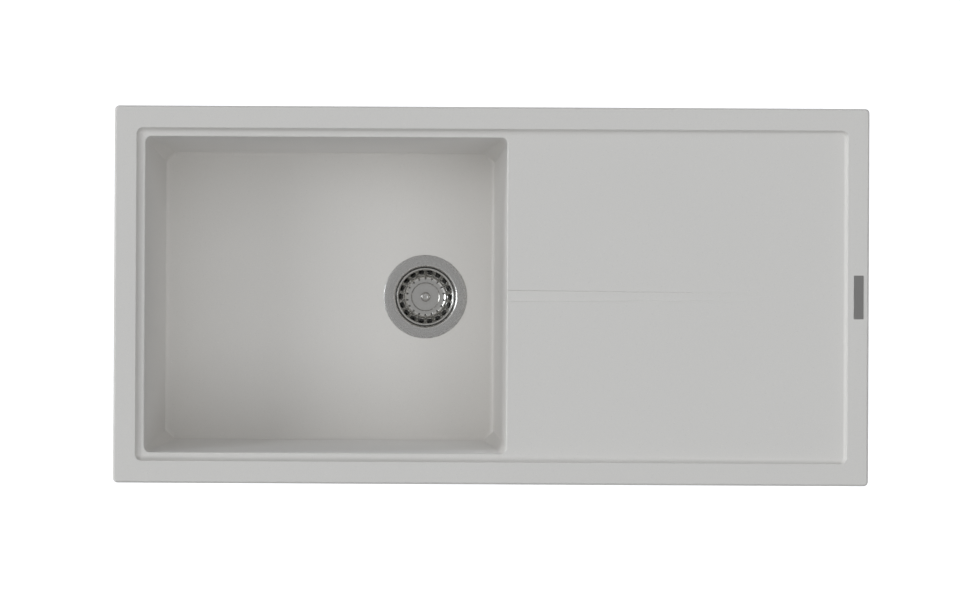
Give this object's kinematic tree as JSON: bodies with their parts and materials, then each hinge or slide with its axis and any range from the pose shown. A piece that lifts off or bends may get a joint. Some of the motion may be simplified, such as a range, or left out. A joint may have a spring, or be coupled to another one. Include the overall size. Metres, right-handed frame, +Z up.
{
  "type": "kitchen sink with drainboard",
  "caption": "Rectangular inset sink of stone composite with a bowl at one end, a flat drainboard with a tapering groove, a lift-out basket strainer waste and swing-out worktop claws.",
  "frame": {"origin": "centre of the rim in plan, on the plane of the rim's underside, which is the worktop's top surface", "axes": "+Z up, +X towards the drainboard end, +Y towards the back edge"},
  "size_m": [1, 0.5, 0.305],
  "materials": {
    "composite": "matt, fine grained",
    "brushed_steel": "brushed in rings",
    "polished_steel": "bright",
    "zinc_steel": "zinc plated",
    "brass": "bare",
    "rubber": "matt",
    "foam": "closed-cell foam",
    "waste_plastic": "moulded polypropylene",
    "nylon": "moulded nylon"
  },
  "bodies": {
    "sink": {"sink_body": "composite", "rim_seal": "foam", "badge_plate": "brushed_steel", "waste_flange": "brushed_steel", "upper_gasket": "rubber", "lower_gasket": "rubber", "waste_body": "waste_plastic", "outlet_tail": "waste_plastic", "centre_bolt": "zinc_steel", "bolt_insert": "brass", "dowel_front_left": "nylon", "dowel_front_middle": "nylon", "dowel_front_right": "nylon", "dowel_back_left": "nylon", "dowel_back_middle": "nylon", "dowel_back_right": "nylon", "dowel_left_end": "nylon", "dowel_right_end": "nylon"},
    "strainer_basket": {"basket_cup": "polished_steel", "basket_knob": "polished_steel", "basket_stem": "nylon", "basket_seal": "rubber"},
    "clamp_screw_front_left": {"clamp_screw_front_left": "zinc_steel"},
    "claw_front_left": {"claw_front_left": "zinc_steel"},
    "clamp_screw_front_middle": {"clamp_screw_front_middle": "zinc_steel"},
    "claw_front_middle": {"claw_front_middle": "zinc_steel"},
    "clamp_screw_front_right": {"clamp_screw_front_right": "zinc_steel"},
    "claw_front_right": {"claw_front_right": "zinc_steel"},
    "clamp_screw_back_left": {"clamp_screw_back_left": "zinc_steel"},
    "claw_back_left": {"claw_back_left": "zinc_steel"},
    "clamp_screw_back_middle": {"clamp_screw_back_middle": "zinc_steel"},
    "claw_back_middle": {"claw_back_middle": "zinc_steel"},
    "clamp_screw_back_right": {"clamp_screw_back_right": "zinc_steel"},
    "claw_back_right": {"claw_back_right": "zinc_steel"},
    "clamp_screw_left_end": {"clamp_screw_left_end": "zinc_steel"},
    "claw_left_end": {"claw_left_end": "zinc_steel"},
    "clamp_screw_right_end": {"clamp_screw_right_end": "zinc_steel"},
    "claw_right_end": {"claw_right_end": "zinc_steel"}
  },
  "joints": [
    {"name": "basket_lift", "type": "slide", "parent": "sink", "child": "strainer_basket", "axis": [0, 0, 1], "range_m": [0, 0.26]},
    {"name": "climb_front_left", "type": "slide", "parent": "sink", "child": "clamp_screw_front_left", "axis": [0, 0, 1], "range_m": [0, 0.014]},
    {"name": "swing_front_left", "type": "hinge", "parent": "clamp_screw_front_left", "child": "claw_front_left", "pos_m": [-0.4, -0.2275, -0.047], "axis": [0, 0, 1], "range_deg": [0, 90]},
    {"name": "climb_front_middle", "type": "slide", "parent": "sink", "child": "clamp_screw_front_middle", "axis": [0, 0, 1], "range_m": [0, 0.014]},
    {"name": "swing_front_middle", "type": "hinge", "parent": "clamp_screw_front_middle", "child": "claw_front_middle", "pos_m": [0, -0.2275, -0.047], "axis": [0, 0, 1], "range_deg": [0, 90]},
    {"name": "climb_front_right", "type": "slide", "parent": "sink", "child": "clamp_screw_front_right", "axis": [0, 0, 1], "range_m": [0, 0.014]},
    {"name": "swing_front_right", "type": "hinge", "parent": "clamp_screw_front_right", "child": "claw_front_right", "pos_m": [0.4, -0.2275, -0.047], "axis": [0, 0, 1], "range_deg": [0, 90]},
    {"name": "climb_back_left", "type": "slide", "parent": "sink", "child": "clamp_screw_back_left", "axis": [0, 0, 1], "range_m": [0, 0.014]},
    {"name": "swing_back_left", "type": "hinge", "parent": "clamp_screw_back_left", "child": "claw_back_left", "pos_m": [-0.4, 0.2275, -0.047], "axis": [0, 0, 1], "range_deg": [0, 90]},
    {"name": "climb_back_middle", "type": "slide", "parent": "sink", "child": "clamp_screw_back_middle", "axis": [0, 0, 1], "range_m": [0, 0.014]},
    {"name": "swing_back_middle", "type": "hinge", "parent": "clamp_screw_back_middle", "child": "claw_back_middle", "pos_m": [0, 0.2275, -0.047], "axis": [0, 0, 1], "range_deg": [0, 90]},
    {"name": "climb_back_right", "type": "slide", "parent": "sink", "child": "clamp_screw_back_right", "axis": [0, 0, 1], "range_m": [0, 0.014]},
    {"name": "swing_back_right", "type": "hinge", "parent": "clamp_screw_back_right", "child": "claw_back_right", "pos_m": [0.4, 0.2275, -0.047], "axis": [0, 0, 1], "range_deg": [0, 90]},
    {"name": "climb_left_end", "type": "slide", "parent": "sink", "child": "clamp_screw_left_end", "axis": [0, 0, 1], "range_m": [0, 0.014]},
    {"name": "swing_left_end", "type": "hinge", "parent": "clamp_screw_left_end", "child": "claw_left_end", "pos_m": [-0.4775, 0, -0.047], "axis": [0, 0, 1], "range_deg": [0, 90]},
    {"name": "climb_right_end", "type": "slide", "parent": "sink", "child": "clamp_screw_right_end", "axis": [0, 0, 1], "range_m": [0, 0.014]},
    {"name": "swing_right_end", "type": "hinge", "parent": "clamp_screw_right_end", "child": "claw_right_end", "pos_m": [0.4775, 0, -0.047], "axis": [0, 0, 1], "range_deg": [0, 90]}
  ]
}
